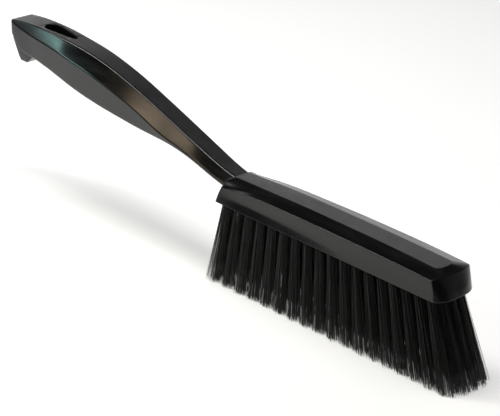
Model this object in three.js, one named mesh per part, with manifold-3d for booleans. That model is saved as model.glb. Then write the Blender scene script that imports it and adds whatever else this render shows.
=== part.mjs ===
// A one-piece moulded hand brush that stands on its filaments.
// Millimetres, +Z up, +X from the handle towards the nose of the block. While it is being shaped,
// x = 0 is the heel end of the block and z = 0 the block's underside, where the tufts come out.
import * as THREE from 'three';
import { mergeVertices } from 'three/addons/utils/BufferGeometryUtils.js';
import Module from 'manifold-3d';

const wasm = await Module();
wasm.setup();

// ---------- driving dimensions ----------
const BLOCK_LENGTH = 153.9;         // heel to nose, on the centre line
const BLOCK_HALF_WIDTH = 16.7;      // at the underside
const BLOCK_HEIGHT = 14.5;          // at the flat middle of the top
const HEEL_FOOT = -0.3;             // x of the heel wall at the underside
const HEEL_RIM = 1.5;               // x of the heel wall's ends at the rim, which lean towards the nose
const HEEL_BULGE = 1.5;             // the heel wall's middle stands this far behind its ends at the rim
const HEEL_TOP = 3.0;               // x of the heel end of the top face
const WAIST_HEIGHT = 5;             // the side walls flare out below this height
const NOSE_RIM = 148.4;             // x of the nose wall at the rim, which leans back
const NOSE_TOP = 143.2;             // x of the top face's end at the nose
const CORNER_RADIUS = 1.0;          // of the block's four upright corners

const HANDLE_REACH = 174.7;         // heel of the block to the end of the handle

const TUFT_LENGTH = 46;             // free length below the block
const TUFT_DEPTH = 7;               // how far a tuft goes into its hole
const TUFT_ROOT_RADIUS = 2.1;
const TUFT_TIP_RADIUS = 3.3;
const HOLE_CLEARANCE = 0.4;
const HOLE_BOTTOM_GAP = 0.6;
const HOLE_OVERCUT = 2;             // the hole's cutter starts this far below the block
const TUFT_SIDES = 8;
const TUFT_FLARE = 1.2;             // above 1, a tuft widens more towards its tip
const TUFT_RING_SHARES = [1, 0.62, 0.3, 0];  // of the free length, where its rings are, from the tip
const FAN_AT_HEEL = -1.2;           // how far the tips lead their roots, along x
const FAN_AT_NOSE = 21.9;
const FAN_CURVE = 2;                // the lead grows faster near the heel
const TUFT_ROWS = [
  { name: 'near', rootY: -12.2, tipY: -14.3, first: 4.6, pitch: 8.22, count: 18 },
  { name: 'middle', rootY: 0, tipY: 0, first: 7, pitch: 8.25, count: 18 },
  { name: 'far', rootY: 12.2, tipY: 14.3, first: 4.6, pitch: 8.22, count: 18 },
  // Two tufts at each end close the gaps between the rows.
  { name: 'near_end', rootY: -6.2, tipY: -7.1, first: 4.4, pitch: 142.6, count: 2 },
  { name: 'far_end', rootY: 6.2, tipY: 7.1, first: 4.4, pitch: 142.6, count: 2 },
];

const HANG_HOLE = { wideX: -148, wideRadius: 5.2, narrowX: -131.5, narrowRadius: 2.4, depth: 60 };

// ---------- materials ----------
const mouldedBlack = new THREE.MeshStandardMaterial({ color: 0x17181a, roughness: 0.35, metalness: 0 });
const filamentBlack = new THREE.MeshStandardMaterial({ color: 0x0c0b0b, roughness: 0.55, metalness: 0 });

// ---------- shared shape helpers ----------
const lerp = THREE.MathUtils.lerp;

// A closed solid through rings of equal point counts. Each ring runs anticlockwise seen from the
// side that the last ring faces. capTriangles cuts an end cap of that many points into triangles.
function loftRings(rings, capTriangles = fanTriangles) {
  const count = rings[0].length;
  const positions = rings.flat().flatMap((point) => [point.x, point.y, point.z]);
  const index = [];
  for (let ring = 0; ring + 1 < rings.length; ring++) {
    for (let i = 0; i < count; i++) {
      const a = ring * count + i;
      const b = ring * count + (i + 1) % count;
      index.push(a, b, b + count, a, b + count, a + count);
    }
  }
  const last = (rings.length - 1) * count;
  for (const [a, b, c] of capTriangles(count)) {
    index.push(a, c, b);
    index.push(last + a, last + b, last + c);
  }
  const geometry = new THREE.BufferGeometry();
  geometry.setAttribute('position', new THREE.Float32BufferAttribute(positions, 3));
  geometry.setIndex(index);
  return geometry;
}

function fanTriangles(count) {
  return Array.from({ length: count - 2 }, (_, i) => [0, i + 1, i + 2]);
}

// A cap for rings whose point i mirrors point count - 1 - i across the y = 0 plane.
function ladderTriangles(count) {
  const triangles = [];
  for (let i = 0; i + 1 < count / 2; i++) {
    const j = count - 1 - i;
    triangles.push([i, i + 1, j - 1]);
    if (j - 1 !== i + 1) triangles.push([i, j - 1, j]);
  }
  return triangles;
}

function toSolid(geometry) {
  const bare = geometry.clone();
  bare.deleteAttribute('normal');
  bare.deleteAttribute('uv');
  const merged = mergeVertices(bare, 1e-4);
  return new wasm.Manifold(new wasm.Mesh({
    numProp: 3,
    vertProperties: new Float32Array(merged.attributes.position.array),
    triVerts: new Uint32Array(merged.index.array),
  }));
}

function toGeometry(solid) {
  const mesh = solid.getMesh();
  const geometry = new THREE.BufferGeometry();
  geometry.setAttribute('position', new THREE.Float32BufferAttribute(mesh.vertProperties, 3));
  geometry.setIndex(Array.from(mesh.triVerts));
  geometry.computeVertexNormals();
  return geometry;
}

function part(name, geometry, material) {
  const mesh = new THREE.Mesh(geometry, material);
  mesh.name = name;
  return mesh;
}

// ---------- handle ----------
// Each station gives half of an eight-sided section: the flat top, the widest line, and the lower
// edge. The underside adds two small chamfers below the lower edge.
const HANDLE_STATIONS = [
  { x: -HANDLE_REACH, top: [8.1, 48.0], side: [8.3, 47.2], low: [7.2, 39.5] },
  { x: -168, top: [8.1, 49.0], side: [9.0, 45.6], low: [7.2, 32.4] },
  { x: -158, top: [8.0, 49.8], side: [9.7, 44.1], low: [7.4, 30.1] },
  { x: -148, top: [7.85, 50.0], side: [10.5, 43.3], low: [8.1, 29.0] },
  { x: -137, top: [7.65, 49.7], side: [11.3, 42.5], low: [8.8, 27.1] },
  { x: -125, top: [7.3, 48.8], side: [12.2, 41.0], low: [9.3, 24.5] },
  { x: -110, top: [7.1, 47.1], side: [12.7, 38.8], low: [9.5, 21.8] },
  { x: -95, top: [6.95, 44.1], side: [12.8, 35.5], low: [9.6, 19.9] },
  { x: -80, top: [6.85, 40.1], side: [12.6, 31.8], low: [9.7, 18.6] },
  { x: -65, top: [6.8, 35.2], side: [12.1, 27.0], low: [9.9, 17.6] },
  { x: -50, top: [6.7, 30.1], side: [11.7, 21.3], low: [10.3, 17.2] },
  { x: -35, top: [6.6, 24.8], side: [11.3, 17.9], low: [10.7, 15.9] },
  { x: -20, top: [6.3, 19.6], side: [11.1, 14.3], low: [10.6, 12.4] },
  { x: -8, top: [5.95, 15.6], side: [10.9, 10.6], low: [10.4, 8.9] },
  { x: 6, top: [5.2, 12.2], side: [10.2, 8.0], low: [9.8, 5.6] },
];
const HANDLE_SECTIONS = 44;
const UNDERSIDE_CHAMFER = { inset: 3, drop: 1.2 };

function handleRail(pick) {
  const points = HANDLE_STATIONS.map((station) => new THREE.Vector3(station.x, ...pick(station)));
  return new THREE.CatmullRomCurve3(points).getPoints(HANDLE_SECTIONS);
}

function handleGeometry() {
  const rails = [
    handleRail((s) => s.top),
    handleRail((s) => s.side),
    handleRail((s) => s.low),
    handleRail((s) => [s.low[0] - UNDERSIDE_CHAMFER.inset, s.low[1] - UNDERSIDE_CHAMFER.drop]),
  ];
  const rings = [];
  for (let i = 0; i <= HANDLE_SECTIONS; i++) {
    const near = rails.map((rail) => new THREE.Vector3(rail[i].x, -rail[i].y, rail[i].z));
    const far = rails.map((rail) => rail[i]).reverse();
    rings.push([...near, ...far]);
  }
  return loftRings(rings, ladderTriangles);
}

// The lip below the end of the handle, which hooks over the rim of a bucket or a rail.
const LIP_PROFILE = [
  [-174.4, 42], [-173.8, 36.5], [-169.5, 26], [-168, 24], [-163, 24], [-156.8, 30.5], [-155, 38],
];
const LIP_TOP = { z: 38, halfWidth: 6.8 };
const LIP_TIP = { z: 24, halfWidth: 4.4 };

function lipGeometry() {
  const rings = [1, -1].map((side) => LIP_PROFILE.map(([x, z]) => {
    const t = THREE.MathUtils.clamp((z - LIP_TIP.z) / (LIP_TOP.z - LIP_TIP.z), 0, 1);
    return new THREE.Vector3(x, side * lerp(LIP_TIP.halfWidth, LIP_TOP.halfWidth, t), z);
  }));
  return loftRings(rings);
}

// The hanging hole: a slot with a wide round end and a narrow round end, straight through.
function hangHoleGeometry() {
  const { wideX, wideRadius, narrowX, narrowRadius, depth } = HANG_HOLE;
  const lean = Math.asin((wideRadius - narrowRadius) / (narrowX - wideX));
  const outline = new THREE.Shape();
  outline.absarc(wideX, 0, wideRadius, Math.PI / 2 - lean, -Math.PI / 2 + lean, false);
  outline.absarc(narrowX, 0, narrowRadius, -Math.PI / 2 + lean, Math.PI / 2 - lean, false);
  return new THREE.ExtrudeGeometry(outline, { depth, bevelEnabled: false, curveSegments: 12 });
}

// ---------- block ----------
const CORNER_STEPS = 3;
const SIDE_STATIONS = [6, 12, 20, 30, 40, 52, 65, 82, 98, 112, 126, 138];
const RIM_HEIGHT = [[0, 8.4], [6, 9.2], [12, 9.9], [20, 10.8], [30, 11.4], [52, 11.9], [75, 12.2],
  [98, 12.2], [126, 11.9], [148, 11]];
const RIM_HALF_WIDTH = [[0, 15.3], [12, 15.2], [30, 15.4], [52, 15.8], [75, 16.2], [98, 16.5], [148, 16.6]];
// How much narrower each side is at the waist than at the rim. By the heel it is wider instead, so
// that the wall there runs straight from the rim to the underside.
const WAIST_INSET = [[0, -0.5], [8, -0.4], [22, 0.1], [75, 0.55], [110, 0.6], [148, 0.3]];
const TOP_HEIGHT = [[0, 12.9], [26, 13.8], [52, BLOCK_HEIGHT], [98, BLOCK_HEIGHT], [126, 14.1],
  [148, 13.4]];
const TOP_HALF_WIDTH = [[0, 5.4], [26, 6.3], [65, 6.75], [112, 7.1], [148, 7.5]];
const NOSE_BULGE = { foot: 4.4, rim: 2.2, top: 2.2 };  // each nose arc is this much longer in its middle
const NOSE_SQUARENESS = 3.5;
// Points of an outline between its centre line and its corners, as shares of its half width.
const HEEL_SHARES = [0.3, 0.65];
const NOSE_SHARES = [0.9, 0.78, 0.6, 0.35, 0.1];
// The slope from the rim to the top swells at the heel: where its two inner lines run there, and how
// far towards the nose they take to fall back onto the straight slope.
const HEEL_SWELL = [
  { share: 1 / 3, heel: 1.0, bulge: 1.2, halfWidth: 13.2, height: 9.7 },
  { share: 2 / 3, heel: 0.6, bulge: 0.6, halfWidth: 10.4, height: 11.5 },
];
const SWELL_LENGTH = 20;

function along(table, x) {
  const last = table.length - 1;
  if (x <= table[0][0]) return table[0][1];
  if (x >= table[last][0]) return table[last][1];
  const i = table.findIndex(([end]) => x < end);
  const [x0, y0] = table[i - 1];
  const [x1, y1] = table[i];
  return lerp(y0, y1, (x - x0) / (x1 - x0));
}

// One outline of the block seen from above: the heel, sides that may taper, and a nose arc.
// The points run down the near side from the heel to the nose, then back along the far side.
function blockRing({ heel, heelBulge = 0, nose, bulge, halfWidth, height }) {
  const noseWidth = halfWidth(nose);
  const noseAt = (y) => nose - bulge * (y / noseWidth) ** NOSE_SQUARENESS;
  const half = [];
  const addCorner = (centreX, edgeY, from, to) => {
    for (let i = 0; i <= CORNER_STEPS; i++) {
      const angle = lerp(from, to, i / CORNER_STEPS);
      half.push([centreX + CORNER_RADIUS * Math.cos(angle), edgeY + CORNER_RADIUS * (Math.sin(angle) - 1)]);
    }
  };
  for (const share of HEEL_SHARES) {
    half.push([heel - heelBulge * (1 - share ** 2), share * halfWidth(heel)]);
  }
  addCorner(heel + CORNER_RADIUS, halfWidth(heel), Math.PI, Math.PI / 2);
  for (const x of SIDE_STATIONS) {
    half.push([x, halfWidth(x)]);
  }
  const turned = CORNER_RADIUS * Math.SQRT1_2;
  addCorner(noseAt(noseWidth - CORNER_RADIUS + turned) - turned, noseWidth, Math.PI / 2, Math.PI / 4);
  for (const share of NOSE_SHARES) {
    half.push([noseAt(share * noseWidth), share * noseWidth]);
  }
  const far = half.map(([x, y]) => new THREE.Vector3(x, y, height(x)));
  const near = half.map(([x, y]) => new THREE.Vector3(x, -y, height(x)));
  return [...near, ...far.reverse()];
}

// A line part way up the slope from the rim to the top face.
function slopeRing({ share, heel, bulge, halfWidth, height }) {
  const swell = (x) => THREE.MathUtils.clamp(1 - (x - HEEL_TOP) / SWELL_LENGTH, 0, 1);
  const between = (rim, top, x) => lerp(along(rim, x), along(top, x), share);
  return blockRing({
    heel,
    heelBulge: bulge,
    nose: lerp(NOSE_RIM, NOSE_TOP, share),
    bulge: lerp(NOSE_BULGE.rim, NOSE_BULGE.top, share),
    halfWidth: (x) => lerp(between(RIM_HALF_WIDTH, TOP_HALF_WIDTH, x), halfWidth, swell(x)),
    height: (x) => lerp(between(RIM_HEIGHT, TOP_HEIGHT, x), height, swell(x)),
  });
}

function blockGeometry() {
  const rimHalfWidth = (x) => along(RIM_HALF_WIDTH, x);
  const waistShare = WAIST_HEIGHT / BLOCK_HEIGHT;
  const underside = blockRing({
    heel: HEEL_FOOT,
    nose: BLOCK_LENGTH,
    bulge: NOSE_BULGE.foot,
    halfWidth: () => BLOCK_HALF_WIDTH,
    height: () => 0,
  });
  const waist = blockRing({
    heel: lerp(HEEL_FOOT, HEEL_RIM, waistShare),
    heelBulge: HEEL_BULGE * waistShare,
    nose: lerp(BLOCK_LENGTH, NOSE_RIM, waistShare),
    bulge: lerp(NOSE_BULGE.foot, NOSE_BULGE.rim, waistShare),
    halfWidth: (x) => rimHalfWidth(x) - along(WAIST_INSET, x),
    height: () => WAIST_HEIGHT,
  });
  const rim = blockRing({
    heel: HEEL_RIM,
    heelBulge: HEEL_BULGE,
    nose: NOSE_RIM,
    bulge: NOSE_BULGE.rim,
    halfWidth: rimHalfWidth,
    height: (x) => along(RIM_HEIGHT, x),
  });
  const top = blockRing({
    heel: HEEL_TOP,
    nose: NOSE_TOP,
    bulge: NOSE_BULGE.top,
    halfWidth: (x) => along(TOP_HALF_WIDTH, x),
    height: (x) => along(TOP_HEIGHT, x),
  });
  return loftRings([underside, waist, rim, ...HEEL_SWELL.map(slopeRing), top], ladderTriangles);
}

// ---------- tufts ----------
function tipLead(x) {
  const t = x / BLOCK_LENGTH;
  return lerp(FAN_AT_HEEL, FAN_AT_NOSE, t) + FAN_CURVE * t * (1 - t);
}

// A tuft or its hole: level rings along the line from the root through the tip.
function tuftGeometry(root, tip, levels) {
  const rings = levels.map(({ z, radius }) => {
    const centre = root.clone().lerp(tip, -z / TUFT_LENGTH);
    return Array.from({ length: TUFT_SIDES }, (_, i) => {
      const angle = 2 * Math.PI * (i + 0.5) / TUFT_SIDES;
      return new THREE.Vector3(centre.x + radius * Math.cos(angle), centre.y + radius * Math.sin(angle), z);
    });
  });
  return loftRings(rings);
}

const tuftLevels = TUFT_RING_SHARES.map((share) => {
  return { z: -share * TUFT_LENGTH, radius: lerp(TUFT_ROOT_RADIUS, TUFT_TIP_RADIUS, share ** TUFT_FLARE) };
});
tuftLevels.push({ z: TUFT_DEPTH, radius: TUFT_ROOT_RADIUS });
const holeLevels = [-HOLE_OVERCUT, TUFT_DEPTH + HOLE_BOTTOM_GAP].map((z) => {
  return { z, radius: TUFT_ROOT_RADIUS + HOLE_CLEARANCE };
});

const tufts = TUFT_ROWS.flatMap(({ name, rootY, tipY, first, pitch, count }) => {
  return Array.from({ length: count }, (_, i) => {
    const x = first + i * pitch;
    return {
      name: `tuft_${name}_${String(i + 1).padStart(2, '0')}`,
      root: new THREE.Vector3(x, rootY, 0),
      tip: new THREE.Vector3(x + tipLead(x), tipY, -TUFT_LENGTH),
    };
  });
});

// ---------- assembly ----------
function brushBack() {
  let solid = toSolid(handleGeometry());
  solid = solid.add(toSolid(lipGeometry()));
  solid = solid.subtract(toSolid(hangHoleGeometry()));
  solid = solid.add(toSolid(blockGeometry()));
  for (const { root, tip } of tufts) {
    solid = solid.subtract(toSolid(tuftGeometry(root, tip, holeLevels)));
  }
  return part('brush_back', toGeometry(solid), mouldedBlack);
}

const brush = new THREE.Group();
brush.add(brushBack());
for (const { name, root, tip } of tufts) {
  brush.add(part(name, tuftGeometry(root, tip, tuftLevels), filamentBlack));
}

// The finished part's origin is the middle of its box on the surface that it stands on.
const box = new THREE.Box3().setFromObject(brush);
const centre = box.getCenter(new THREE.Vector3());
brush.position.set(-centre.x, -centre.y, -box.min.z);

const model = new THREE.Group();
model.add(brush);
export default model;
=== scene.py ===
"""Looks for a black one-piece moulded hand brush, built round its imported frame."""
import math
import random

import bmesh
import bpy
import numpy as np
from mathutils import Matrix, Vector


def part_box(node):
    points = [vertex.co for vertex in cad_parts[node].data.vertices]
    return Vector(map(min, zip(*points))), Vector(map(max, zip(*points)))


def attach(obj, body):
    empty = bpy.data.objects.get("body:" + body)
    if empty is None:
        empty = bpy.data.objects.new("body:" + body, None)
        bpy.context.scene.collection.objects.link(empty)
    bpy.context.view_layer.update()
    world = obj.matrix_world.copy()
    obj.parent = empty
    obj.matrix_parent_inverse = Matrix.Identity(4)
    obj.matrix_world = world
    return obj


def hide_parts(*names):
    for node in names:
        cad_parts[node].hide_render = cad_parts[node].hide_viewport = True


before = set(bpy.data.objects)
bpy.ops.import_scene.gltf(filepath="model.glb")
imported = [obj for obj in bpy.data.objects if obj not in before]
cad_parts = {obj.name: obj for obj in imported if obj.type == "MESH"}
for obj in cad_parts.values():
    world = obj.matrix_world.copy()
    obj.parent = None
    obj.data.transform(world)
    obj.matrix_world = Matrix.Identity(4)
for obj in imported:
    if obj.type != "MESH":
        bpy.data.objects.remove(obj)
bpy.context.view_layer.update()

# ---------- sizes, in millimetres, measured from the block's heel on its underside ----------
MM = 0.001
HANDLE_REACH = 174.7
BLOCK_LENGTH = 153.9
BLOCK_HALF_WIDTH = 16.7
BLOCK_HEIGHT = 14.5
HEEL_FOOT, HEEL_RIM, HEEL_TOP = -0.3, 1.5, 3.0
HEEL_BULGE = 1.5
WAIST_HEIGHT = 5.0
NOSE_RIM, NOSE_TOP = 148.4, 143.2
CORNER_RADIUS = 1.0
TUFT_ROOT_RADIUS = 2.1
HOLE_RADIUS = 2.5

back_low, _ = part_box("brush_back")
HEEL = Vector((back_low.x + HANDLE_REACH * MM, 0.0, back_low.z))


def place(x, y, z):
    """A point given in millimetres from the heel, in the frame's metres."""
    return HEEL + Vector((x, y, z)) * MM


# ---------- camera ----------
CAMERA_AZIMUTH = math.radians(38.66)
CAMERA_ELEVATION = math.radians(23.86)
CAMERA_ROLL = math.radians(6.93)
CAMERA_DISTANCE = 1270.5
CAMERA_TARGET = (11.3, 0.0, -3.9)
CAMERA_LENS = 168.0


def make_camera():
    a, e, roll = CAMERA_AZIMUTH, CAMERA_ELEVATION, CAMERA_ROLL
    back = Vector((math.sin(a) * math.cos(e), -math.cos(a) * math.cos(e), math.sin(e)))
    level = Vector((0, 0, 1)).cross(back).normalized()
    upright = back.cross(level)
    right = level * math.cos(roll) + upright * math.sin(roll)
    up = upright * math.cos(roll) - level * math.sin(roll)
    data = bpy.data.cameras.new("camera")
    data.lens = CAMERA_LENS
    data.clip_end = 50
    camera = bpy.data.objects.new("camera", data)
    turn = Matrix((right, up, back)).transposed().to_4x4()
    camera.matrix_world = Matrix.Translation(place(*CAMERA_TARGET) + back * CAMERA_DISTANCE * MM) @ turn
    bpy.context.scene.collection.objects.link(camera)
    bpy.context.scene.camera = camera


# ---------- shade round the stage ----------
# The floor's colour darkens in this direction, a painted shade, between these two distances in metres,
# down to this share.
FLOOR_SHADE_SIDE = (-0.78, -0.625, 0.0)
FLOOR_SHADE_START, FLOOR_SHADE_END, FLOOR_SHADE_LEVEL = 0.285, 0.33, 0.12
FLOOR_GLOW = 0.28
# The walls darken towards the front and towards the right, as the cosine of the angle to that
# direction goes from its start to its end.
DARK_FRONT, FRONT_START, FRONT_END = (0.62, -0.78, 0.0), 0.0, 0.25
DARK_RIGHT, RIGHT_START, RIGHT_END = (1.0, 0.0, 0.0), 0.15, 0.60
WALL_SHADE_LEVEL = 0.10


# ---------- node helpers ----------
def new_material(name):
    material = bpy.data.materials.new(name)
    material.use_nodes = True
    tree = material.node_tree
    return material, tree, tree.nodes["Principled BSDF"]


def noise(tree, scale, detail=3.0, stretch=None):
    """A noise texture's value in object space, in metres; stretch scales its axes."""
    coordinates = tree.nodes.new("ShaderNodeTexCoord")
    texture = tree.nodes.new("ShaderNodeTexNoise")
    texture.inputs["Scale"].default_value = scale
    texture.inputs["Detail"].default_value = detail
    source = coordinates.outputs["Object"]
    if stretch:
        mapping = tree.nodes.new("ShaderNodeMapping")
        mapping.inputs["Scale"].default_value = stretch
        tree.links.new(source, mapping.inputs["Vector"])
        source = mapping.outputs["Vector"]
    tree.links.new(source, texture.inputs["Vector"])
    return texture.outputs["Fac"]


def ramp(tree, source, stops):
    """Colours blended by a value from 0 to 1; each stop is a position and its colour."""
    node = tree.nodes.new("ShaderNodeValToRGB")
    first, last = node.color_ramp.elements
    first.position, last.position = stops[0][0], stops[-1][0]
    first.color, last.color = (*stops[0][1], 1), (*stops[-1][1], 1)
    for position, colour in stops[1:-1]:
        node.color_ramp.elements.new(position).color = (*colour, 1)
    tree.links.new(source, node.inputs["Fac"])
    return node.outputs["Color"]


def dimmed(tree, colour, vector, direction, start, end, dark):
    """The colour, dimmed to a share of itself as the vector goes from start to end that way."""
    reach = tree.nodes.new("ShaderNodeVectorMath")
    reach.operation = "DOT_PRODUCT"
    reach.inputs[1].default_value = direction
    tree.links.new(vector, reach.inputs[0])
    factor = ramp(tree, reach.outputs["Value"], [(start, (1.0, 1.0, 1.0)), (end, (dark, dark, dark))])
    product = tree.nodes.new("ShaderNodeMix")
    product.data_type = "RGBA"
    product.blend_type = "MULTIPLY"
    product.inputs["Factor"].default_value = 1.0
    tree.links.new(colour, product.inputs["A"])
    tree.links.new(factor, product.inputs["B"])
    return product.outputs["Result"]


NOISE_LOW, NOISE_HIGH = 0.3, 0.7


def to_range(tree, source, low, high):
    """A noise value, spread from its usual range over low to high."""
    node = tree.nodes.new("ShaderNodeMapRange")
    node.inputs["From Min"].default_value = NOISE_LOW
    node.inputs["From Max"].default_value = NOISE_HIGH
    node.inputs["To Min"].default_value = low
    node.inputs["To Max"].default_value = high
    tree.links.new(source, node.inputs["Value"])
    return node.outputs["Result"]


def bump(tree, shader, height, distance, strength=1.0, under=None):
    """Bumps on the shader, on top of the normal called under where one is given."""
    node = tree.nodes.new("ShaderNodeBump")
    node.inputs["Distance"].default_value = distance
    node.inputs["Strength"].default_value = strength
    tree.links.new(height, node.inputs["Height"])
    if under:
        tree.links.new(under, node.inputs["Normal"])
    tree.links.new(node.outputs["Normal"], shader.inputs["Normal"])
    return node.outputs["Normal"]


# ---------- materials ----------
PLASTIC_IOR = 1.49
FILAMENT_IOR = 1.54


def gloss_plastic():
    """Polished mould faces: near-black, with faint flow waves, rub marks and dust."""
    material, tree, shader = new_material("gloss_plastic")
    cloud = noise(tree, 45, 5, (0.5, 1, 1))
    colour = ramp(tree, cloud, [(0.3, (0.0020, 0.0020, 0.0022)), (0.7, (0.0042, 0.0040, 0.0040))])
    tree.links.new(colour, shader.inputs["Base Color"])
    rubbed = noise(tree, 160, 6, (0.25, 1, 1))
    tree.links.new(to_range(tree, rubbed, 0.14, 0.25), shader.inputs["Roughness"])
    waves = bump(tree, shader, noise(tree, 60, 2, (0.4, 1, 1)), 0.00012, 0.5)
    bump(tree, shader, noise(tree, 2600, 3), 0.00001, 0.5, waves)
    shader.inputs["IOR"].default_value = PLASTIC_IOR
    return material


def grain_plastic():
    """Spark-eroded mould faces on the tops: a fine satin grain, worn smoother in patches."""
    material, tree, shader = new_material("grain_plastic")
    cloud = noise(tree, 70, 5)
    colour = ramp(tree, cloud, [(0.3, (0.0050, 0.0050, 0.0056)), (0.7, (0.0100, 0.0098, 0.0098))])
    tree.links.new(colour, shader.inputs["Base Color"])
    tree.links.new(to_range(tree, noise(tree, 220, 5), 0.32, 0.41), shader.inputs["Roughness"])
    coarse = bump(tree, shader, noise(tree, 1500, 3), 0.00008, 0.6)
    bump(tree, shader, noise(tree, 4200, 2), 0.00003, 0.6, coarse)
    shader.inputs["IOR"].default_value = PLASTIC_IOR
    return material


def filament_black(name, dark, light, roughness):
    """Drawn filament: near-black, with narrow lighter streaks along its length, a painted sheen; its
    roughness varies along it too.
    """
    material, tree, shader = new_material(name)
    # Painted sheen: lighter streaks along the filament in its base colour.
    painted_sheen_streaks = noise(tree, 1400, 3, (1, 1, 0.04))
    tree.links.new(ramp(tree, painted_sheen_streaks, [(0.35, dark), (0.65, light)]), shader.inputs["Base Color"])
    tree.links.new(to_range(tree, noise(tree, 900, 2, (1, 1, 0.1)), roughness - 0.06, roughness + 0.1),
                   shader.inputs["Roughness"])
    shader.inputs["IOR"].default_value = FILAMENT_IOR
    return material


def anchor_steel():
    material, tree, shader = new_material("anchor_steel")
    drawn = noise(tree, 2500, 3, (1, 0.05, 1))
    tree.links.new(ramp(tree, drawn, [(0.3, (0.42, 0.43, 0.44)), (0.7, (0.58, 0.59, 0.60))]),
                   shader.inputs["Base Color"])
    tree.links.new(to_range(tree, drawn, 0.25, 0.4), shader.inputs["Roughness"])
    shader.inputs["Metallic"].default_value = 1.0
    return material


def floor_paint():
    """A pale matt lit table, whose glow softens shadows; well to the left its colour darkens, a painted
    shade.
    """
    material, tree, shader = new_material("floor_paint")
    paper = ramp(tree, noise(tree, 3, 4), [(0.3, (0.935, 0.935, 0.93)), (0.7, (0.95, 0.95, 0.945))])
    place_on_floor = tree.nodes.new("ShaderNodeTexCoord").outputs["Object"]
    # Painted shade: the floor's colour and glow darken well to the left.
    floor_with_painted_shade = dimmed(tree, paper, place_on_floor, FLOOR_SHADE_SIDE,
                    FLOOR_SHADE_START, FLOOR_SHADE_END, FLOOR_SHADE_LEVEL)
    tree.links.new(floor_with_painted_shade, shader.inputs["Base Color"])
    tree.links.new(floor_with_painted_shade, shader.inputs["Emission Color"])
    shader.inputs["Emission Strength"].default_value = FLOOR_GLOW
    shader.inputs["Roughness"].default_value = 0.8
    shader.inputs["Specular IOR Level"].default_value = 0.1
    return material


# ---------- mesh helpers ----------
def mesh_object(name, vertices, faces, materials, indices=None):
    mesh = bpy.data.meshes.new(name)
    mesh.from_pydata([tuple(v) for v in vertices], [], faces)
    for material in materials:
        mesh.materials.append(material)
    if indices:
        mesh.polygons.foreach_set("material_index", indices)
    mesh.validate()
    thing = bpy.data.objects.new(name, mesh)
    bpy.context.scene.collection.objects.link(thing)
    return thing


def loft(name, rings, materials, grained=(), end_caps=True):
    """A closed solid through rings of equal point counts. Strips that start at a point in grained
    get the second material."""
    count = len(rings[0])
    vertices = [place(*point) for ring in rings for point in ring]
    faces, indices = [], []
    for ring in range(len(rings) - 1):
        for i in range(count):
            a, b = ring * count + i, ring * count + (i + 1) % count
            faces.append((a, b, b + count, a + count))
            indices.append(1 if i in grained else 0)
    if end_caps:
        last = (len(rings) - 1) * count
        faces.append(tuple(reversed(range(count))))
        faces.append(tuple(range(last, last + count)))
        indices += [0, 0]
    return mesh_object(name, vertices, faces, materials, indices)


def natural_spline(xs, ys):
    """A smooth curve through the points, with no bending at its ends, as a function of x."""
    xs, ys = np.array(xs, float), np.array(ys, float)
    step = np.diff(xs)
    count = len(xs)
    system = np.eye(count)
    right_side = np.zeros(count)
    for i in range(1, count - 1):
        system[i, i - 1:i + 2] = step[i - 1], 2 * (step[i - 1] + step[i]), step[i]
        right_side[i] = 6 * ((ys[i + 1] - ys[i]) / step[i] - (ys[i] - ys[i - 1]) / step[i - 1])
    bend = np.linalg.solve(system, right_side)

    def value(x):
        i = int(np.clip(np.searchsorted(xs, x) - 1, 0, count - 2))
        a, b = (xs[i + 1] - x) / step[i], (x - xs[i]) / step[i]
        curl = ((a ** 3 - a) * bend[i] + (b ** 3 - b) * bend[i + 1]) * step[i] ** 2 / 6
        return float(a * ys[i] + b * ys[i + 1] + curl)

    return value


def mix(a, b, t):
    return tuple(p + (q - p) * t for p, q in zip(a, b))


NEARLY_HALF = 0.45
HELD_EDGE = 1.35                # how far out the points are that keep a rounded edge tight


def toward(a, b, distance):
    """The point that far from a on the way to b, or just short of half way."""
    length = math.dist(a, b)
    return mix(a, b, min(distance / max(length, 1e-9), NEARLY_HALF))


def round_corner(before, corner, after, reach, steps=5):
    """Points round a corner, from one side to the other, with a held edge at both ends."""
    start, end = toward(corner, before, reach), toward(corner, after, reach)
    points = [toward(corner, before, reach * HELD_EDGE)]
    for i in range(steps + 1):
        t = i / steps
        points.append(mix(mix(start, corner, t), mix(corner, end, t), t))
    return points + [toward(corner, after, reach * HELD_EDGE)]


def boolean(thing, other, operation):
    """Joins or cuts for good, and removes the other object."""
    modifier = thing.modifiers.new(operation.lower(), "BOOLEAN")
    modifier.operation = operation
    modifier.solver = "EXACT"
    modifier.object = other
    bpy.context.view_layer.update()
    graph = bpy.context.evaluated_depsgraph_get()
    made = bpy.data.meshes.new_from_object(thing.evaluated_get(graph))
    thing.modifiers.clear()
    old = thing.data
    thing.data = made
    bpy.data.meshes.remove(old)
    bpy.data.objects.remove(other)


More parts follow.
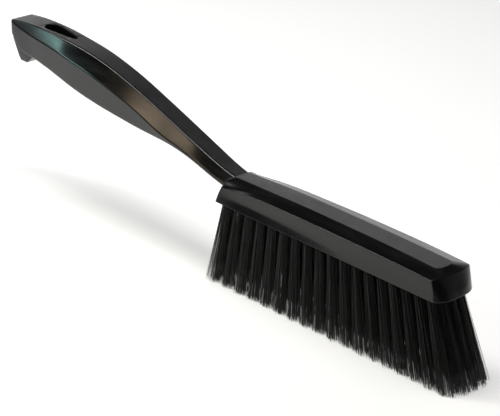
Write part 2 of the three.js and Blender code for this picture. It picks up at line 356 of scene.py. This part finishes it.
# ---------- handle ----------
# x, then half width and height of the flat top's edge, of the widest line and of the lower edge.
HANDLE_STATIONS = [
    (-174.7, 8.1, 48.0, 8.3, 47.2, 7.2, 39.5),
    (-168, 8.1, 49.0, 9.0, 45.6, 7.2, 32.4),
    (-158, 8.0, 49.8, 9.7, 44.1, 7.4, 30.1),
    (-148, 7.85, 50.0, 10.5, 43.3, 8.1, 29.0),
    (-137, 7.65, 49.7, 11.3, 42.5, 8.8, 27.1),
    (-125, 7.3, 48.8, 12.2, 41.0, 9.3, 24.5),
    (-110, 7.1, 47.1, 12.7, 38.8, 9.5, 21.8),
    (-95, 6.95, 44.1, 12.8, 35.5, 9.6, 19.9),
    (-80, 6.85, 40.1, 12.6, 31.8, 9.7, 18.6),
    (-65, 6.8, 35.2, 12.1, 27.0, 9.9, 17.6),
    (-50, 6.7, 30.1, 11.7, 21.3, 10.3, 17.2),
    (-35, 6.6, 24.8, 11.3, 17.9, 10.7, 15.9),
    (-20, 6.3, 19.6, 11.1, 14.3, 10.6, 12.4),
    (-8, 5.95, 15.6, 10.9, 10.6, 10.4, 8.9),
    (6, 5.2, 12.2, 10.2, 8.0, 9.8, 5.6),
]
UNDERSIDE_INSET, UNDERSIDE_DROP = 3.0, 1.2
HANDLE_STEP = 1.6
CORNER_REACH = {"top": 0.75, "side": 0.7, "low": 1.1, "underside": 1.2}
handle_curves = [natural_spline([s[0] for s in HANDLE_STATIONS], [s[i] for s in HANDLE_STATIONS])
                 for i in range(1, 7)]
END_ROUNDING, END_STEPS = 0.6, 4


def handle_top(x):
    return handle_curves[1](x)


def handle_section(x, inset=0.0):
    """The section at x, with rounded corners, pulled in all round by inset."""
    top_y, top_z, side_y, side_z, low_y, low_z = (curve(x) for curve in handle_curves)
    middle_z = (top_z + low_z) / 2
    corners = [
        ((-top_y, top_z), CORNER_REACH["top"]),
        ((-side_y, side_z), CORNER_REACH["side"]),
        ((-low_y, low_z), CORNER_REACH["low"]),
        ((-low_y + UNDERSIDE_INSET, low_z - UNDERSIDE_DROP), CORNER_REACH["underside"]),
    ]
    corners += [((-y, z), reach) for (y, z), reach in reversed(corners)]
    if inset:
        half_height = (top_z - low_z) / 2
        squeeze = (1 - inset / side_y, 1 - inset / half_height)
        corners = [((y * squeeze[0], middle_z + (z - middle_z) * squeeze[1]), reach)
                   for (y, z), reach in corners]
    points = []
    for i, (corner, reach) in enumerate(corners):
        before, after = corners[i - 1][0], corners[(i + 1) % len(corners)][0]
        points += round_corner(before, corner, after, reach)
    return [(x, y, z) for y, z in points]


def make_handle(materials):
    start, end = HANDLE_STATIONS[0][0], HANDLE_STATIONS[-1][0]
    rings = []
    for i in range(END_STEPS + 1):
        angle = math.pi / 2 * i / END_STEPS
        rings.append(handle_section(start + END_ROUNDING * (1 - math.sin(angle)),
                                    END_ROUNDING * (1 - math.cos(angle))))
    rings.reverse()
    steps = int((end - start - END_ROUNDING) / HANDLE_STEP)
    for i in range(1, steps + 1):
        rings.append(handle_section(start + END_ROUNDING + (end - start - END_ROUNDING) * i / steps))
    count = len(rings[0])
    return loft("handle", rings, materials, grained=(count - 1,))


LIP_PROFILE = [(-174.4, 42), (-173.8, 36.5), (-169.5, 26), (-168, 24), (-163, 24), (-156.8, 30.5),
               (-155, 38)]
LIP_TOP_Z, LIP_TOP_HALF = 38.0, 6.8
LIP_TIP_Z, LIP_TIP_HALF = 24.0, 4.4
LIP_BEVEL = 0.5
LIP_EDGE_ANGLE = math.radians(20)


def make_lip(materials):
    """The hook lip under the handle's end, tapering to its tip, with soft edges."""
    sides = []
    for side in (1, -1):
        for x, z in LIP_PROFILE:
            t = min(max((z - LIP_TIP_Z) / (LIP_TOP_Z - LIP_TIP_Z), 0), 1)
            sides.append(place(x, side * (LIP_TIP_HALF + (LIP_TOP_HALF - LIP_TIP_HALF) * t), z))
    count = len(LIP_PROFILE)
    faces = [tuple(range(count)), tuple(reversed(range(count, 2 * count)))]
    for i in range(count):
        j = (i + 1) % count
        faces.append((i, i + count, j + count, j))
    lip = mesh_object("lip", sides, faces, materials)
    shape = bmesh.new()
    shape.from_mesh(lip.data)
    bmesh.ops.recalc_face_normals(shape, faces=shape.faces)
    sharp = [e for e in shape.edges if e.calc_face_angle(0) > LIP_EDGE_ANGLE]
    bmesh.ops.bevel(shape, geom=sharp, offset=LIP_BEVEL * MM, segments=4, profile=0.5, affect="EDGES")
    shape.to_mesh(lip.data)
    shape.free()
    return lip


# ---------- block ----------
RIM_HEIGHT = [(-1, 8.3), (6, 9.2), (12, 9.9), (20, 10.8), (30, 11.4), (52, 11.9), (75, 12.2), (98, 12.2),
              (126, 11.9), (151, 10.9)]
RIM_HALF_WIDTH = [(-1, 15.3), (12, 15.2), (30, 15.4), (52, 15.8), (75, 16.2), (98, 16.5), (151, 16.6)]
TOP_HEIGHT = [(-1, 12.9), (26, 13.9), (52, BLOCK_HEIGHT), (75, BLOCK_HEIGHT + 0.05), (98, BLOCK_HEIGHT),
              (126, 14.1), (151, 13.3)]
TOP_HALF_WIDTH = [(-1, 5.4), (26, 6.3), (65, 6.75), (112, 7.1), (151, 7.5)]
rim_height, rim_half_width, top_height, top_half_width = (
    natural_spline(*zip(*table)) for table in (RIM_HEIGHT, RIM_HALF_WIDTH, TOP_HEIGHT, TOP_HALF_WIDTH))
WAIST_INSET = [(-1, -0.55), (8, -0.4), (22, 0.1), (75, 0.55), (110, 0.6), (151, 0.3)]
waist_inset = natural_spline(*zip(*WAIST_INSET))
FOOT_BULGE, RIM_BULGE, TOP_BULGE = 4.4, 2.2, 2.2
NOSE_SQUARENESS = 3.5
NOSE_SHARES = (0.9, 0.84, 0.78, 0.69, 0.6, 0.48, 0.35, 0.2, 0.07)
HEEL_SHARES = (0.1, 0.3, 0.5, 0.7)
BLOCK_SIDE_STEPS = 60
BLOCK_CORNER_STEPS = 6
# Two lines on the slope between the rim and the top, which swells at the heel: how far up the
# slope each is, then its x at the heel, its bulge there, its half width and its height.
HEEL_SWELL = [(1 / 3, 1.0, 1.2, 13.2, 9.7), (2 / 3, 0.6, 0.6, 10.4, 11.5)]
SWELL_LENGTH = 20.0
EDGE_ROUNDING = {"underside": 0.3, "waist": 3.0, "rim": 0.35, "slope": 1.0, "top": 0.6}
# The last rings before the flat caps: the underside's shrinks along x about the block's middle.
BLOCK_MIDDLE = 75
UNDERSIDE_CAP_LENGTH, UNDERSIDE_CAP_WIDTH, TOP_CAP_WIDTH = 0.97, 0.85, 0.8


def block_outline(heel, heel_bulge, nose, bulge, half_width, height):
    """One outline of the block from above: down its near side from heel to nose, then back."""
    nose_width = half_width(nose)
    half = [(heel - heel_bulge * (1 - share ** 2), half_width(heel) * share) for share in HEEL_SHARES]

    def nose_at(y):
        return nose - bulge * (y / nose_width) ** NOSE_SQUARENESS

    def corner_arc(centre_x, edge_y, start, end):
        for i in range(BLOCK_CORNER_STEPS + 1):
            angle = start + (end - start) * i / BLOCK_CORNER_STEPS
            half.append((centre_x + CORNER_RADIUS * math.cos(angle),
                         edge_y + CORNER_RADIUS * (math.sin(angle) - 1)))

    turned = CORNER_RADIUS * math.sqrt(0.5)
    side_start = heel + CORNER_RADIUS
    side_end = nose_at(nose_width - CORNER_RADIUS + turned) - turned
    corner_arc(side_start, half_width(heel), math.pi, math.pi / 2)
    for i in range(1, BLOCK_SIDE_STEPS):
        x = side_start + (side_end - side_start) * i / BLOCK_SIDE_STEPS
        half.append((x, half_width(x)))
    corner_arc(side_end, nose_width, math.pi / 2, math.pi / 4)
    half += [(nose_at(share * nose_width), share * nose_width) for share in NOSE_SHARES]
    near = [(x, -y, height(x)) for x, y in half]
    far = [(x, y, height(x)) for x, y in reversed(half)]
    return near + far


def slope_outline(share, heel, heel_bulge, heel_half_width, heel_height):
    """A line part way up the slope from the rim to the top face, swelling towards the heel."""
    def part_way(low, high):
        return low + (high - low) * share

    def swell(x):
        return min(max(1 - (x - HEEL_TOP) / SWELL_LENGTH, 0.0), 1.0)

    def half_width(x):
        straight = part_way(rim_half_width(x), top_half_width(x))
        return straight + (heel_half_width - straight) * swell(x)

    def height(x):
        straight = part_way(rim_height(x), top_height(x))
        return straight + (heel_height - straight) * swell(x)

    return block_outline(heel, heel_bulge, part_way(NOSE_RIM, NOSE_TOP), part_way(RIM_BULGE, TOP_BULGE),
                         half_width, height)


def bent(before, corner, after, reach, steps=4):
    """Rings that round the edge along the corner ring, between the rings before and after it."""
    rings = [round_corner(b, c, a, reach, steps) for b, c, a in zip(before, corner, after)]
    return [list(ring) for ring in zip(*rings)]


def block_lines():
    """The outlines that the block's skin runs through, from its underside to its top."""
    waist_share = WAIST_HEIGHT / BLOCK_HEIGHT

    def at_waist(foot, rim):
        return foot + (rim - foot) * waist_share

    def waist_half_width(x):
        return rim_half_width(x) - waist_inset(x)

    underside = block_outline(HEEL_FOOT, 0.0, BLOCK_LENGTH, FOOT_BULGE,
                              lambda x: BLOCK_HALF_WIDTH, lambda x: 0.0)
    waist = block_outline(at_waist(HEEL_FOOT, HEEL_RIM), HEEL_BULGE * waist_share,
                          at_waist(BLOCK_LENGTH, NOSE_RIM), at_waist(FOOT_BULGE, RIM_BULGE),
                          waist_half_width, lambda x: WAIST_HEIGHT)
    rim = block_outline(HEEL_RIM, HEEL_BULGE, NOSE_RIM, RIM_BULGE, rim_half_width, rim_height)
    low_slope, high_slope = (slope_outline(*line) for line in HEEL_SWELL)
    top = block_outline(HEEL_TOP, 0.0, NOSE_TOP, TOP_BULGE, top_half_width, top_height)
    return underside, waist, rim, low_slope, high_slope, top


def make_block(materials):
    underside, waist, rim, low_slope, high_slope, top = block_lines()
    inner_floor = [(BLOCK_MIDDLE + (x - BLOCK_MIDDLE) * UNDERSIDE_CAP_LENGTH, y * UNDERSIDE_CAP_WIDTH, z)
                   for x, y, z in underside]
    inner_top = [(x, y * TOP_CAP_WIDTH, z) for x, y, z in top]
    rings = bent(inner_floor, underside, waist, EDGE_ROUNDING["underside"])
    rings += bent(underside, waist, rim, EDGE_ROUNDING["waist"])
    rings += bent(waist, rim, low_slope, EDGE_ROUNDING["rim"])
    rings += bent(rim, low_slope, high_slope, EDGE_ROUNDING["slope"])
    rings += bent(low_slope, high_slope, top, EDGE_ROUNDING["slope"])
    rings += bent(high_slope, top, inner_top, EDGE_ROUNDING["top"])
    block = loft("block", rings, materials, end_caps=False)
    return cap_block(block, len(rings), len(underside))


def cap_block(block, ring_count, count):
    """Closes the underside with one face and the top with a ladder of grained strips."""
    shape = bmesh.new()
    shape.from_mesh(block.data)
    shape.verts.ensure_lookup_table()
    shape.faces.new([shape.verts[i] for i in reversed(range(count))])
    start = (ring_count - 1) * count
    for i in range(count // 2 - 1):
        corners = (i, i + 1, count - 2 - i, count - 1 - i)
        face = shape.faces.new([shape.verts[start + c] for c in corners])
        face.material_index = 1
    bmesh.ops.recalc_face_normals(shape, faces=shape.faces)
    shape.to_mesh(block.data)
    shape.free()
    return block


# ---------- holes ----------
HANG_WIDE_X, HANG_WIDE_RADIUS = -148.0, 5.2
HANG_NARROW_X, HANG_NARROW_RADIUS = -131.5, 2.4
HOLE_OVERCUT, HOLE_BOTTOM_GAP = 2, 0.6
LEVEL_TOLERANCE = 0.1
# The hole's rounded rim: heights over the top face, and how much wider the hole is at each.
HANG_RIM = [(1.0, 1.1), (0.02, 0.45), (-0.12, 0.22), (-0.3, 0.08), (-0.5, 0.0)]


def hang_outline(grow, steps=24):
    lean = math.asin((HANG_WIDE_RADIUS - HANG_NARROW_RADIUS) / (HANG_NARROW_X - HANG_WIDE_X))
    points = []
    for centre, radius, start, end in (
            (HANG_NARROW_X, HANG_NARROW_RADIUS, -math.pi / 2 + lean, math.pi / 2 - lean),
            (HANG_WIDE_X, HANG_WIDE_RADIUS, math.pi / 2 - lean, 3 * math.pi / 2 + lean)):
        for i in range(steps + 1):
            angle = start + (end - start) * i / steps
            points.append((centre + (radius + grow) * math.cos(angle), (radius + grow) * math.sin(angle)))
    return points


def make_hang_cutter(materials):
    """The hanging hole's cutter, which flares over the top face to leave a rounded rim."""
    rings = [[(x, y, 0.0) for x, y in hang_outline(0)]]
    for rise, grow in reversed(HANG_RIM):
        rings.append([(x, y, handle_top(x) + rise) for x, y in hang_outline(grow)])
    return loft("hang_cutter", rings, materials)


def ring_centre(points):
    return sum(points, Vector()) / len(points)


def tuft_axis(node):
    """The centres of a CAD tuft's root end and tip end."""
    points = [v.co.copy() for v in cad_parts[node].data.vertices]
    low, high = min(p.z for p in points), max(p.z for p in points)
    root = ring_centre([p for p in points if p.z > high - LEVEL_TOLERANCE * MM])
    tip = ring_centre([p for p in points if p.z < low + LEVEL_TOLERANCE * MM])
    return root, tip


def make_tuft_hole_cutter(nodes, materials, sides=20):
    vertices, faces = [], []
    for node in nodes:
        root, tip = tuft_axis(node)
        along = root - tip
        first = len(vertices)
        for z in (HEEL.z - HOLE_OVERCUT * MM, root.z + HOLE_BOTTOM_GAP * MM):
            centre = tip + along * ((z - tip.z) / along.z)
            for i in range(sides):
                angle = 2 * math.pi * i / sides
                vertices.append(centre + Vector((math.cos(angle), math.sin(angle), 0)) * HOLE_RADIUS * MM)
        for i in range(sides):
            j = (i + 1) % sides
            faces.append((first + i, first + j, first + sides + j, first + sides + i))
        faces.append(tuple(first + i for i in reversed(range(sides))))
        faces.append(tuple(first + sides + i for i in range(sides)))
    return mesh_object("tuft_hole_cutter", vertices, faces, materials)


SMOOTH_BELOW = math.radians(32)


def make_back(tuft_nodes):
    materials = [gloss_plastic(), grain_plastic()]
    back = make_handle(materials)
    boolean(back, make_lip(materials), "UNION")
    boolean(back, make_hang_cutter(materials), "DIFFERENCE")
    boolean(back, make_block(materials), "UNION")
    boolean(back, make_tuft_hole_cutter(tuft_nodes, materials), "DIFFERENCE")
    back.name = "moulded_back"
    back.data.shade_smooth()
    back.data.set_sharp_from_angle(angle=SMOOTH_BELOW)
    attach(back, "root")
    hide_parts("brush_back")


# ---------- tufts ----------
FILAMENTS_PER_TUFT = 120
FILAMENT_RADIUS = 0.16
FILAMENT_SIDES = 3
FILAMENT_STEPS = 5
TIP_SPREAD = (3.3, 5.0)         # at the heel and at the nose
TIP_RAGGED = (1.0, 0.35)
HEEL_SPLAY = 0.7                # how much wider the heel's own tufts lean out, past the block
HEEL_TUFTS_END = 6              # the heel's own tufts have their roots before this x
ROOT_FILL = 0.95                # the share of the root's radius that the filaments fill
STRAY_REACH, STRAY_RARITY = 0.4, 8
TIP_JITTER, TIP_CUT_JITTER, SWAY = 0.35, 0.5, 0.3
SPREAD_CURVE = 1.25             # above 1, a tuft widens more towards its tip
TIP_THINNING = 0.35
THICKNESS_RANGE = (0.85, 1.15)
KIND_CHOICES = (0, 0, 1)        # two filaments of the first material to each of the second


def disc_point(random_source):
    """A random point in the unit disc, evenly spread."""
    radius = math.sqrt(random_source.random())
    angle = random_source.random() * 2 * math.pi
    return Vector((radius * math.cos(angle), radius * math.sin(angle), 0))


def filament_path(random_source, root, tip):
    """Points from the root to the tip, spreading on the way, with the end cut a little short."""
    toward_nose = (root.x - HEEL.x) / (BLOCK_LENGTH * MM)
    spread_here = TIP_SPREAD[0] + (TIP_SPREAD[1] - TIP_SPREAD[0]) * toward_nose
    ragged_here = TIP_RAGGED[0] + (TIP_RAGGED[1] - TIP_RAGGED[0]) * toward_nose
    where = disc_point(random_source)
    if root.x - HEEL.x < HEEL_TUFTS_END * MM:
        spread_here *= 1 + HEEL_SPLAY * max(0.0, -where.x)
    stray = 1.0 + STRAY_REACH * random_source.random() ** STRAY_RARITY
    start = root + where * TUFT_ROOT_RADIUS * ROOT_FILL * MM
    jitter = Vector((random_source.gauss(0, TIP_JITTER), random_source.gauss(0, TIP_JITTER), 0))
    end = tip + (where * spread_here * stray + jitter) * MM
    ragged = abs(random_source.gauss(0, TIP_CUT_JITTER)) * ragged_here * MM
    sway = Vector((random_source.gauss(0, SWAY), random_source.gauss(0, SWAY), 0)) * MM
    points = []
    for i in range(FILAMENT_STEPS + 1):
        t = i / FILAMENT_STEPS
        spread = t ** SPREAD_CURVE
        line = root.lerp(tip, t)
        offset = (start - root).lerp(end - tip, spread)
        points.append(line + offset + sway * math.sin(math.pi * t) * t)
    last = points[-1] - points[-2]
    points[-1] -= last.normalized() * ragged
    return points


def add_filament(points, radius, turn, vertices, faces):
    first = len(vertices)
    for i, point in enumerate(points):
        t = i / (len(points) - 1)
        thickness = radius * (1 - TIP_THINNING * t) * MM
        for side in range(FILAMENT_SIDES):
            angle = turn + 2 * math.pi * side / FILAMENT_SIDES
            vertices.append(point + Vector((math.cos(angle), math.sin(angle), 0)) * thickness)
    for i in range(len(points) - 1):
        for side in range(FILAMENT_SIDES):
            a = first + i * FILAMENT_SIDES + side
            b = first + i * FILAMENT_SIDES + (side + 1) % FILAMENT_SIDES
            faces.append((a, b, b + FILAMENT_SIDES, a + FILAMENT_SIDES))
    last = first + (len(points) - 1) * FILAMENT_SIDES
    faces.append(tuple(last + side for side in range(FILAMENT_SIDES)))
    faces.append(tuple(first + side for side in reversed(range(FILAMENT_SIDES))))


def make_tuft(node, seed, materials):
    random_source = random.Random(seed)
    root, tip = tuft_axis(node)
    vertices, faces = [], []
    for _ in range(FILAMENTS_PER_TUFT):
        points = filament_path(random_source, root, tip)
        radius = FILAMENT_RADIUS * random_source.uniform(*THICKNESS_RANGE)
        add_filament(points, radius, random_source.random() * math.pi, vertices, faces)
    per_filament = FILAMENT_SIDES * FILAMENT_STEPS + 2
    indices = []
    for _ in range(FILAMENTS_PER_TUFT):
        indices += [random_source.choice(KIND_CHOICES)] * per_filament
    tuft = mesh_object("filaments_" + node[len("tuft_"):], vertices, faces, materials, indices)
    tuft.data.shade_smooth()
    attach(tuft, "root")
    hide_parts(node)


# ---------- anchors ----------
ANCHOR_WIDTH, ANCHOR_HEIGHT, ANCHOR_THICKNESS = 4.6, 1.6, 0.35


def make_anchors(tuft_nodes):
    """The flat strips pressed across the bottoms of the holes, which pin the tufts."""
    vertices, faces = [], []
    half = Vector((ANCHOR_THICKNESS / 2, ANCHOR_WIDTH / 2, ANCHOR_HEIGHT / 2)) * MM
    box_faces = [(0, 1, 3, 2), (4, 6, 7, 5), (0, 4, 5, 1), (2, 3, 7, 6), (0, 2, 6, 4), (1, 5, 7, 3)]
    for node in tuft_nodes:
        root, _ = tuft_axis(node)
        centre = root + Vector((0, 0, -ANCHOR_HEIGHT / 2 * MM))
        first = len(vertices)
        for x in (-1, 1):
            for y in (-1, 1):
                for z in (-1, 1):
                    vertices.append(centre + Vector((x * half.x, y * half.y, z * half.z)))
        faces += [tuple(first + i for i in face) for face in box_faces]
    anchors = mesh_object("tuft_anchors", vertices, faces, [anchor_steel()])
    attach(anchors, "root")


# ---------- stage ----------
FLOOR_REACH = 4.0


def make_floor():
    corners = [(x * FLOOR_REACH, y * FLOOR_REACH, 0) for x, y in ((-1, -1), (1, -1), (1, 1), (-1, 1))]
    floor = mesh_object("floor", corners, [(0, 1, 2, 3)], [floor_paint()])


def soft_box(name, target, direction, distance, width, height, radiance, colour):
    """A soft light, seen that way from its target, which it faces; radiance is how bright it looks."""
    data = bpy.data.lights.new(name, "AREA")
    data.shape = "RECTANGLE"
    data.size, data.size_y = width, height
    data.energy = radiance * math.pi * width * height
    data.color = colour
    light = bpy.data.objects.new(name, data)
    toward_light = Vector(direction).normalized()
    light.location = place(*target) + toward_light * distance
    light.rotation_euler = toward_light.to_track_quat("Z", "Y").to_euler()
    bpy.context.scene.collection.objects.link(light)


def make_world():
    """White walls to the left and behind, dark ones in front and to the right, and a dark ceiling."""
    world = bpy.data.worlds.new("studio")
    bpy.context.scene.world = world
    world.use_nodes = True
    tree = world.node_tree
    direction = tree.nodes.new("ShaderNodeTexCoord").outputs["Generated"]
    split = tree.nodes.new("ShaderNodeSeparateXYZ")
    tree.links.new(direction, split.inputs["Vector"])
    shade = ramp(tree, split.outputs["Z"], [(0.0, (1.0, 1.0, 1.0)), (0.43, (0.95, 0.96, 0.98)),
                                          (0.53, (0.02, 0.021, 0.023)), (1.0, (0.02, 0.02, 0.0215))])
    shade = dimmed(tree, shade, direction, DARK_FRONT, FRONT_START, FRONT_END, WALL_SHADE_LEVEL)
    shade = dimmed(tree, shade, direction, DARK_RIGHT, RIGHT_START, RIGHT_END, WALL_SHADE_LEVEL)
    tree.links.new(shade, tree.nodes["Background"].inputs["Color"])
    tree.nodes["Background"].inputs["Strength"].default_value = 1.0


# The target in millimetres, the direction of the light from it, and then in metres its distance,
# width and height, followed by its radiance and colour.
LIGHTS = {
    "overhead": ((0, 0, 0), (0.20, 0.15, 1.0), 1.3, 1.0, 0.8, 1.6, (1.0, 1.0, 1.0)),
    "edge": ((-80, -7, 40), (-0.30, -0.15, 0.94), 1.0, 0.20, 0.95, 13.5, (1.0, 0.98, 0.95)),
    "cool_side": ((-142, -9, 46), (-0.562, -0.77, 0.275), 0.5, 0.12, 0.15, 7.6, (0.55, 1.0, 0.95)),
    "warm_front": ((-42, -9.5, 22), (-0.25, -0.765, 0.585), 0.35, 0.08, 0.115, 4.6, (1.0, 0.79, 0.56)),
}


def make_lights():
    for name, settings in LIGHTS.items():
        soft_box(name, *settings)


# ---------- build ----------
make_camera()
tuft_nodes = sorted(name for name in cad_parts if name.startswith("tuft_"))
make_back(tuft_nodes)
filament_materials = [
    filament_black("filament_black", (0.0018, 0.0016, 0.0015), (0.005, 0.0045, 0.0042), 0.36),
    # The second material is lighter all over, painted sheen on about one filament in three.
    filament_black("filament_painted_sheen", (0.0045, 0.0040, 0.0036), (0.0150, 0.0125, 0.0110), 0.42),
]
for seed, node in enumerate(tuft_nodes, start=1):
    make_tuft(node, seed, filament_materials)
make_anchors(tuft_nodes)
make_floor()
make_world()
make_lights()
bpy.context.scene.view_settings.view_transform = "Standard"
